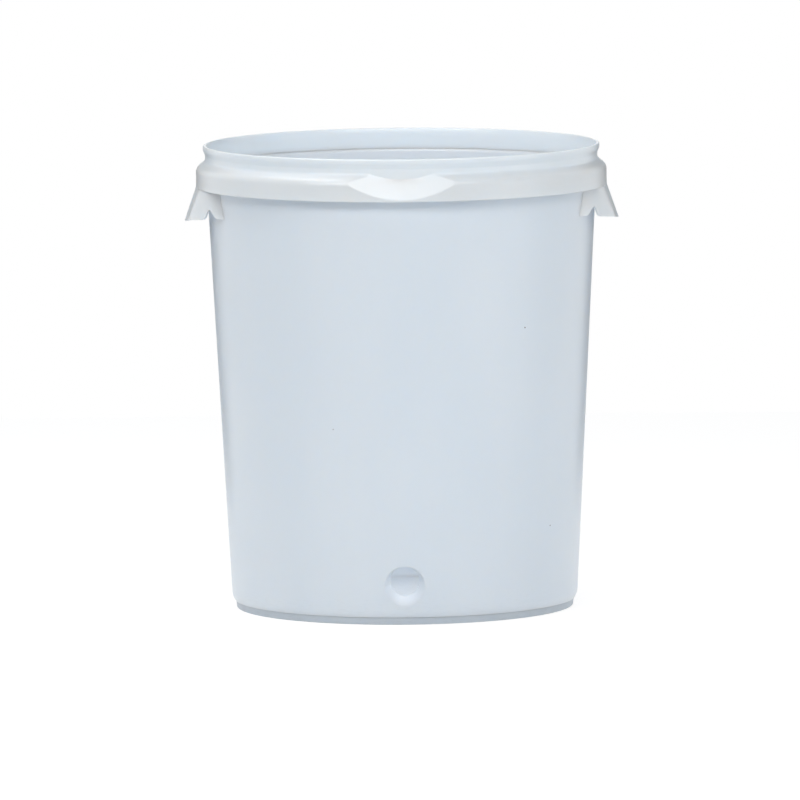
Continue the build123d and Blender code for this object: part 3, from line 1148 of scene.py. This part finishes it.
# %% Helpers for stage materials
def empty_tree(holder):
    """The node tree of a material or a world, without its nodes."""
    holder.use_nodes = True
    holder.node_tree.nodes.clear()
    return holder.node_tree


def both(tree, first, second):
    """Two shaders added up."""
    return add(tree, "ShaderNodeAddShader", {0: first, 1: second}).outputs[0]


def seen_or_given(tree, seen, given):
    """One shader for camera, glossy and transmission rays, and another for the light that is given back."""
    path = add(tree, "ShaderNodeLightPath").outputs
    direct = maths(tree, "MAXIMUM", path["Is Camera Ray"], path["Is Glossy Ray"])
    direct = maths(tree, "MAXIMUM", direct, path["Is Transmission Ray"])
    return add(tree, "ShaderNodeMixShader", {0: direct, 1: given, 2: seen}).outputs[0]


# %% Floor
floor_half = 1.6
floor_white = (0.78, 0.78, 0.78, 1.0)
floor_glow = 0.80
table_light = 0.08
floor_shading = (0.30, 0.30, 0.30, 1.0)


def floor_material():
    """White where it is looked at, with the object's shadow in it, and pale in the light it gives back."""
    material = bpy.data.materials.new("studio floor")
    tree = empty_tree(material)
    paper = add(tree, "ShaderNodeBsdfDiffuse", {"Color": floor_white}).outputs[0]
    from_under = add(tree, "ShaderNodeEmission", {"Strength": table_light}).outputs[0]
    shading = add(tree, "ShaderNodeBsdfDiffuse", {"Color": floor_shading}).outputs[0]
    glow = add(tree, "ShaderNodeEmission", {"Strength": floor_glow}).outputs[0]
    surface = seen_or_given(tree, both(tree, shading, glow), both(tree, paper, from_under))
    add(tree, "ShaderNodeOutputMaterial", {"Surface": surface})
    return material


def sheet_of(name, corners, material):
    """A flat stage panel with the given corners."""
    mesh = bpy.data.meshes.new(name)
    mesh.from_pydata(corners, [], [tuple(range(len(corners)))])
    mesh.materials.append(material)
    panel = in_scene(name, mesh)
    panel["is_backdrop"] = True
    return panel


floor_corners = [(x * floor_half, y * floor_half, 0) for x, y in ((-1, -1), (1, -1), (1, 1), (-1, 1))]
sheet_of("floor", floor_corners, floor_material())
print("floor:", 2 * floor_half, "m wide")

# %% Black flags
flag_distance = 0.5
flag_near = 0.5
flag_far = 2.4
flag_height = 0.9
flag_black = (0.02, 0.02, 0.02, 1.0)


def flag_material():
    """Black cloth."""
    material = bpy.data.materials.new("black flag")
    material.use_nodes = True
    shader = material.node_tree.nodes["Principled BSDF"]
    shader.inputs["Base Color"].default_value = flag_black
    shader.inputs["Roughness"].default_value = 1.0
    return material


flag_cloth = flag_material()
for name, side in (("flag left", -1), ("flag right", 1)):
    x = side * flag_distance
    upright = [(x, flag_near, 0), (x, flag_far, 0), (x, flag_far, flag_height), (x, flag_near, flag_height)]
    flag = sheet_of(name, upright, flag_cloth)
    flag.visible_camera = flag.visible_diffuse = flag.visible_shadow = False
    print(name, "at x", x, "m")

# %% Surroundings and lamps
fill_colour = (0.95, 0.98, 1.0, 1.0)
fill_in_front = 0.18
fill_behind = 1.0
plain_white = (1.0, 1.0, 1.0, 1.0)
daylight_inside = (1.0, 0.92, 0.85)


def studio_world():
    """White to look at, and a soft fill as light, dim in front and bright behind."""
    world = bpy.data.worlds.new("studio")
    tree = empty_tree(world)
    behind = part(tree, add(tree, "ShaderNodeTexCoord").outputs["Generated"], "Y")
    strength = eased(tree, behind, -0.2, 0.8, fill_in_front, fill_behind)
    fill = add(tree, "ShaderNodeBackground", {"Color": fill_colour, "Strength": strength}).outputs[0]
    white = add(tree, "ShaderNodeBackground", {"Color": plain_white}).outputs[0]
    add(tree, "ShaderNodeOutputWorld", {"Surface": seen_or_given(tree, white, fill)})
    bpy.context.scene.world = world


def softbox(name, turn, elevation, distance, width, height, radiance):
    """A rectangular lamp that faces the rim. Its turn off the front and its elevation are in degrees."""
    lamp = bpy.data.lights.new(name, "AREA")
    lamp.shape = "RECTANGLE"
    lamp.size = width
    lamp.size_y = height
    lamp.energy = radiance * math.pi * width * height
    turn = math.radians(turn)
    elevation = math.radians(elevation)
    level = math.cos(elevation)
    away = Vector((level * math.sin(turn), -level * math.cos(turn), math.sin(elevation)))
    holder = in_scene(name, lamp)
    holder.location = Vector((0, 0, rim_top)) + away * distance
    holder.rotation_euler = (-away).to_track_quat("-Z", "Y").to_euler()
    print(name, "at", [round(value, 2) for value in holder.location])


def bulb(name, place, radius, power, colour):
    """A round soft lamp."""
    lamp = bpy.data.lights.new(name, "POINT")
    lamp.shadow_soft_size = radius
    lamp.energy = power
    lamp.color = colour
    holder = in_scene(name, lamp)
    holder.location = place
    holder.visible_camera = holder.visible_glossy = False


studio_world()
softbox("long_softbox", turn=-8, elevation=37, distance=2.8, width=4.6, height=0.9, radiance=3.9)
softbox("left_softbox", turn=-95, elevation=62, distance=2.2, width=1.4, height=0.8, radiance=3.4)
softbox("right_fill", turn=65, elevation=5, distance=2.4, width=1.6, height=1.2, radiance=1.0)
bulb("inside_bulb", place=(0, 0.03, 0.12), radius=0.05, power=0.215, colour=daylight_inside)

# %% [markdown]
# ## Camera
#
# The picture was taken from far away with a long lens, slightly from above. A few clear points of the bucket,
# such as the rim's ends and the foot's lowest point, fix the camera's height, distance and lens.

# %% Place the camera
aim_point = Vector((-2.90, 0, 180.8)) * mm
camera_distance = 10182 * mm
camera_elevation = math.radians(5.90)
camera_roll = math.radians(-0.51)
camera_lens = 521.58
sensor_width = 36.0


def place_camera():
    """A camera that looks at the aim point from the front: tilted, rolled and then drawn back."""
    lens = bpy.data.cameras.new("camera")
    lens.lens = camera_lens
    lens.sensor_width = sensor_width
    lens.clip_end = 100.0
    camera = in_scene("camera", lens)
    turned = Matrix.Rotation(math.pi / 2 - camera_elevation, 4, "X") @ Matrix.Rotation(camera_roll, 4, "Z")
    drawn_back = Matrix.Translation((0, 0, camera_distance))
    camera.matrix_world = Matrix.Translation(aim_point) @ turned @ drawn_back
    bpy.context.scene.camera = camera
    return camera


camera = place_camera()
print("camera at", [round(value, 3) for value in camera.matrix_world.translation])
bpy.context.scene.view_settings.view_transform = "Standard"

# %% Write the sizes and finish
low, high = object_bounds()
{"cad": [list(cad_low), list(cad_high)], "visual": [list(low), list(high)]}
print("visual box, mm:", [round((b - a) / mm, 1) for a, b in zip(low, high)])
